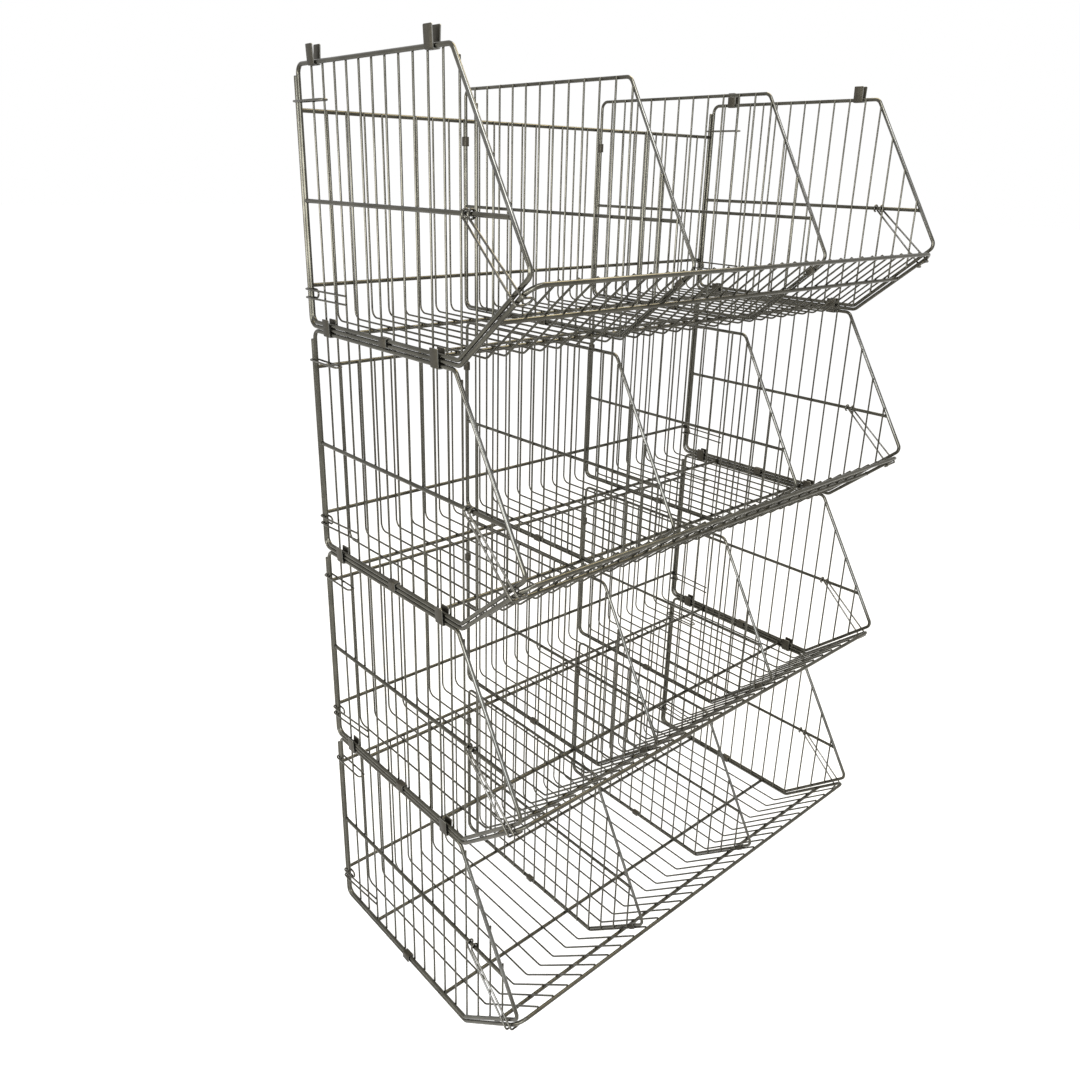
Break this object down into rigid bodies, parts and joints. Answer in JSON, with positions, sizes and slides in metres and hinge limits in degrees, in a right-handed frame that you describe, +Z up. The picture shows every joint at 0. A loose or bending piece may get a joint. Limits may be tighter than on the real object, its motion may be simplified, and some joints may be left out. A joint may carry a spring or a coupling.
{
  "type": "wire basket stack",
  "caption": "Stack of open-fronted wire baskets with sloping lips, lift-out dividers and latched end panels, each standing in sheet clips on the one below.",
  "frame": {"origin": "on the floor, in the middle of the stack's width and depth", "axes": "+Z up, +X to the right seen from the open front, -Y out of the open front"},
  "size_m": [0.9078, 0.5085, 1.4461],
  "materials": {
    "frame_wire": "zinc plated wire, satin",
    "mesh_wire": "zinc plated wire, satin",
    "panel_wire": "zinc plated wire, satin",
    "divider_wire": "zinc plated wire, satin",
    "bright_wire": "bright zinc plated wire",
    "clip_sheet": "dull zinc plated folded sheet"
  },
  "bodies": {
    "basket_1": {"tray_frame_1": "frame_wire", "mat_wires_1": "mesh_wire", "cross_wires_1": "mesh_wire", "left_end_panel_1": "panel_wire", "right_end_panel_1": "panel_wire", "left_hinge_rings_1": "bright_wire", "right_hinge_rings_1": "bright_wire", "left_clips_1": "clip_sheet", "right_clips_1": "clip_sheet"},
    "left_latch_1": {"left_latch_1": "bright_wire"},
    "left_divider_1": {"left_divider_1": "divider_wire", "left_divider_clips_1": "clip_sheet"},
    "right_latch_1": {"right_latch_1": "bright_wire"},
    "right_divider_1": {"right_divider_1": "divider_wire", "right_divider_clips_1": "clip_sheet"},
    "basket_2": {"tray_frame_2": "frame_wire", "mat_wires_2": "mesh_wire", "cross_wires_2": "mesh_wire", "left_end_panel_2": "panel_wire", "right_end_panel_2": "panel_wire", "left_hinge_rings_2": "bright_wire", "right_hinge_rings_2": "bright_wire", "left_clips_2": "clip_sheet", "right_clips_2": "clip_sheet"},
    "left_latch_2": {"left_latch_2": "bright_wire"},
    "left_divider_2": {"left_divider_2": "divider_wire", "left_divider_clips_2": "clip_sheet"},
    "right_latch_2": {"right_latch_2": "bright_wire"},
    "right_divider_2": {"right_divider_2": "divider_wire", "right_divider_clips_2": "clip_sheet"},
    "basket_3": {"tray_frame_3": "frame_wire", "mat_wires_3": "mesh_wire", "cross_wires_3": "mesh_wire", "left_end_panel_3": "panel_wire", "right_end_panel_3": "panel_wire", "left_hinge_rings_3": "bright_wire", "right_hinge_rings_3": "bright_wire", "left_clips_3": "clip_sheet", "right_clips_3": "clip_sheet"},
    "left_latch_3": {"left_latch_3": "bright_wire"},
    "left_divider_3": {"left_divider_3": "divider_wire", "left_divider_clips_3": "clip_sheet"},
    "right_latch_3": {"right_latch_3": "bright_wire"},
    "right_divider_3": {"right_divider_3": "divider_wire", "right_divider_clips_3": "clip_sheet"},
    "basket_4": {"tray_frame_4": "frame_wire", "mat_wires_4": "mesh_wire", "cross_wires_4": "mesh_wire", "left_end_panel_4": "panel_wire", "right_end_panel_4": "panel_wire", "left_hinge_rings_4": "bright_wire", "right_hinge_rings_4": "bright_wire", "left_clips_4": "clip_sheet", "right_clips_4": "clip_sheet"},
    "left_latch_4": {"left_latch_4": "bright_wire"},
    "left_divider_4": {"left_divider_4": "divider_wire", "left_divider_clips_4": "clip_sheet"},
    "right_latch_4": {"right_latch_4": "bright_wire"},
    "right_divider_4": {"right_divider_4": "divider_wire", "right_divider_clips_4": "clip_sheet"}
  },
  "joints": [
    {"name": "left_latch_1_swing", "type": "hinge", "parent": "basket_1", "child": "left_latch_1", "pos_m": [-0.447, -0.1407, 0.179], "axis": [0, 1, 0], "range_deg": [0, 100]},
    {"name": "right_latch_1_swing", "type": "hinge", "parent": "basket_1", "child": "right_latch_1", "pos_m": [0.447, -0.1407, 0.179], "axis": [0, -1, 0], "range_deg": [0, 100]},
    {"name": "left_divider_1_lift", "type": "slide", "parent": "basket_1", "child": "left_divider_1", "axis": [0, 0, 1], "range_m": [0, 0.011]},
    {"name": "right_divider_1_lift", "type": "slide", "parent": "basket_1", "child": "right_divider_1", "axis": [0, 0, 1], "range_m": [0, 0.011]},
    {"name": "basket_2_lift", "type": "slide", "parent": "basket_1", "child": "basket_2", "axis": [0, 0, 1], "range_m": [0, 0.4]},
    {"name": "left_latch_2_swing", "type": "hinge", "parent": "basket_2", "child": "left_latch_2", "pos_m": [-0.447, -0.1407, 0.536], "axis": [0, 1, 0], "range_deg": [0, 100]},
    {"name": "right_latch_2_swing", "type": "hinge", "parent": "basket_2", "child": "right_latch_2", "pos_m": [0.447, -0.1407, 0.536], "axis": [0, -1, 0], "range_deg": [0, 100]},
    {"name": "left_divider_2_lift", "type": "slide", "parent": "basket_2", "child": "left_divider_2", "axis": [0, 0, 1], "range_m": [0, 0.011]},
    {"name": "right_divider_2_lift", "type": "slide", "parent": "basket_2", "child": "right_divider_2", "axis": [0, 0, 1], "range_m": [0, 0.011]},
    {"name": "basket_3_lift", "type": "slide", "parent": "basket_2", "child": "basket_3", "axis": [0, 0, 1], "range_m": [0, 0.4]},
    {"name": "left_latch_3_swing", "type": "hinge", "parent": "basket_3", "child": "left_latch_3", "pos_m": [-0.447, -0.1407, 0.893], "axis": [0, 1, 0], "range_deg": [0, 100]},
    {"name": "right_latch_3_swing", "type": "hinge", "parent": "basket_3", "child": "right_latch_3", "pos_m": [0.447, -0.1407, 0.893], "axis": [0, -1, 0], "range_deg": [0, 100]},
    {"name": "left_divider_3_lift", "type": "slide", "parent": "basket_3", "child": "left_divider_3", "axis": [0, 0, 1], "range_m": [0, 0.011]},
    {"name": "right_divider_3_lift", "type": "slide", "parent": "basket_3", "child": "right_divider_3", "axis": [0, 0, 1], "range_m": [0, 0.011]},
    {"name": "basket_4_lift", "type": "slide", "parent": "basket_3", "child": "basket_4", "axis": [0, 0, 1], "range_m": [0, 0.4]},
    {"name": "left_latch_4_swing", "type": "hinge", "parent": "basket_4", "child": "left_latch_4", "pos_m": [-0.447, -0.1407, 1.25], "axis": [0, 1, 0], "range_deg": [0, 100]},
    {"name": "right_latch_4_swing", "type": "hinge", "parent": "basket_4", "child": "right_latch_4", "pos_m": [0.447, -0.1407, 1.25], "axis": [0, -1, 0], "range_deg": [0, 100]},
    {"name": "left_divider_4_lift", "type": "slide", "parent": "basket_4", "child": "left_divider_4", "axis": [0, 0, 1], "range_m": [0, 0.36]},
    {"name": "right_divider_4_lift", "type": "slide", "parent": "basket_4", "child": "right_divider_4", "axis": [0, 0, 1], "range_m": [0, 0.36]}
  ]
}
